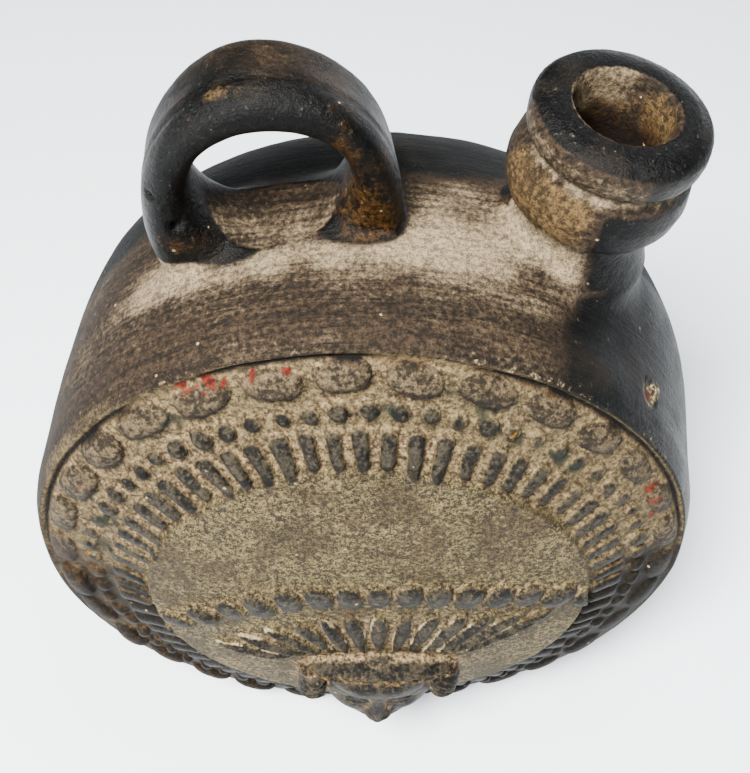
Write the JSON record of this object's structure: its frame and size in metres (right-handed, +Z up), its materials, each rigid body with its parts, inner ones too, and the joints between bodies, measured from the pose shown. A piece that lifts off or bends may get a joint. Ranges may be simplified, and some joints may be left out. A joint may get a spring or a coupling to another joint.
{
  "type": "ceramic canteen",
  "caption": "Round fired-clay canteen with a moulded face disc of bead rings and a fan headdress, loop handle and leaning spout.",
  "frame": {"origin": "middle of the flat underside, on the surface the canteen stands on", "axes": "+Z up, -Y out of the moulded face, +X towards the spout as the face is seen"},
  "size_m": [0.2082, 0.1632, 0.2557],
  "materials": {
    "clay": "burnished dark clay with pale dust and traces of paint"
  },
  "bodies": {
    "root": {"canteen": "clay"}
  },
  "joints": []
}
